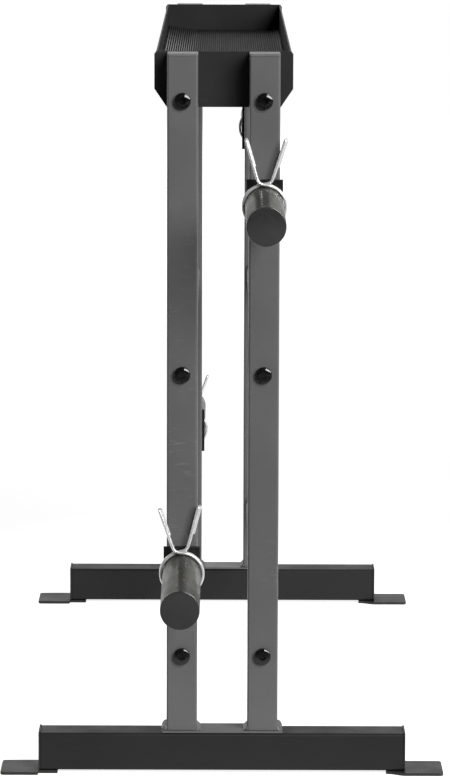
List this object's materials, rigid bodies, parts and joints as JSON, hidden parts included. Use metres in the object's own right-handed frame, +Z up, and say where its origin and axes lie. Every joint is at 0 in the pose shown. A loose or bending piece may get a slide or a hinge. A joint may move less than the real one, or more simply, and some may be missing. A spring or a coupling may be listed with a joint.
{
  "type": "weight storage rack",
  "caption": "Free-standing gym rack: twin-upright end frames joined by a lined tray and rail pairs, with plate posts on the ends and sliding spring clips.",
  "frame": {"origin": "on the floor, at the middle of the rack's outline", "axes": "+Z up, +Y along the rack from the front end frame to the rear one, +X towards the side with the high posts"},
  "size_m": [0.5826, 1.703, 0.9473],
  "materials": {
    "upright": "satin grey powder coat",
    "upright_plug": "grey moulded plastic",
    "base_tube": "satin black powder coat",
    "base_plug": "black moulded plastic",
    "floor_plate": "satin black powder coat, lit from above",
    "bracket": "semi-gloss black paint",
    "post": "satin grey metal",
    "post_cap": "black moulded plastic",
    "clip": "bright chrome",
    "bolt": "gloss black oxide",
    "tray": "satin black powder coat",
    "mat": "fine-ribbed black rubber",
    "rail": "satin black powder coat"
  },
  "bodies": {
    "rack": {"front_base_tube": "base_tube", "front_foot_plate": "upright", "front_left_floor_plate": "floor_plate", "front_left_base_plug": "base_plug", "front_left_upright": "upright", "front_left_upright_plug": "upright_plug", "front_left_tray_bolt": "bolt", "front_left_mid_rail_bolt": "bolt", "front_left_low_rail_bolt": "bolt", "front_right_floor_plate": "floor_plate", "front_right_base_plug": "base_plug", "front_right_upright": "upright", "front_right_upright_plug": "upright_plug", "front_right_tray_bolt": "bolt", "front_right_mid_rail_bolt": "bolt", "front_right_low_rail_bolt": "bolt", "front_high_post_bracket": "bracket", "front_high_post": "post", "front_high_post_cap": "post_cap", "front_high_post_bolt": "bolt", "front_low_post_bracket": "bracket", "front_low_post": "post", "front_low_post_cap": "post_cap", "front_low_post_bolt": "bolt", "front_tray_end": "tray", "rear_base_tube": "base_tube", "rear_foot_plate": "upright", "rear_left_floor_plate": "floor_plate", "rear_left_base_plug": "base_plug", "rear_left_upright": "upright", "rear_left_upright_plug": "upright_plug", "rear_left_tray_bolt": "bolt", "rear_left_mid_rail_bolt": "bolt", "rear_left_low_rail_bolt": "bolt", "rear_right_floor_plate": "floor_plate", "rear_right_base_plug": "base_plug", "rear_right_upright": "upright", "rear_right_upright_plug": "upright_plug", "rear_right_tray_bolt": "bolt", "rear_right_mid_rail_bolt": "bolt", "rear_right_low_rail_bolt": "bolt", "rear_high_post_bracket": "bracket", "rear_high_post": "post", "rear_high_post_cap": "post_cap", "rear_high_post_bolt": "bolt", "rear_low_post_bracket": "bracket", "rear_low_post": "post", "rear_low_post_cap": "post_cap", "rear_low_post_bolt": "bolt", "rear_tray_end": "tray", "left_mid_rail": "rail", "left_low_rail": "rail", "right_mid_rail": "rail", "right_low_rail": "rail", "tray_channel": "tray", "tray_mat": "mat"},
    "front_high_clip": {"front_high_clip": "clip"},
    "front_low_clip": {"front_low_clip": "clip"},
    "rear_high_clip": {"rear_high_clip": "clip"},
    "rear_low_clip": {"rear_low_clip": "clip"}
  },
  "joints": [
    {"name": "front_high_clip_slide", "type": "slide", "parent": "rack", "child": "front_high_clip", "axis": [0, -1, 0], "range_m": [0, 0.265]},
    {"name": "front_low_clip_slide", "type": "slide", "parent": "rack", "child": "front_low_clip", "axis": [0, -1, 0], "range_m": [0, 0.265]},
    {"name": "rear_high_clip_slide", "type": "slide", "parent": "rack", "child": "rear_high_clip", "axis": [0, 1, 0], "range_m": [0, 0.265]},
    {"name": "rear_low_clip_slide", "type": "slide", "parent": "rack", "child": "rear_low_clip", "axis": [0, 1, 0], "range_m": [0, 0.265]}
  ]
}
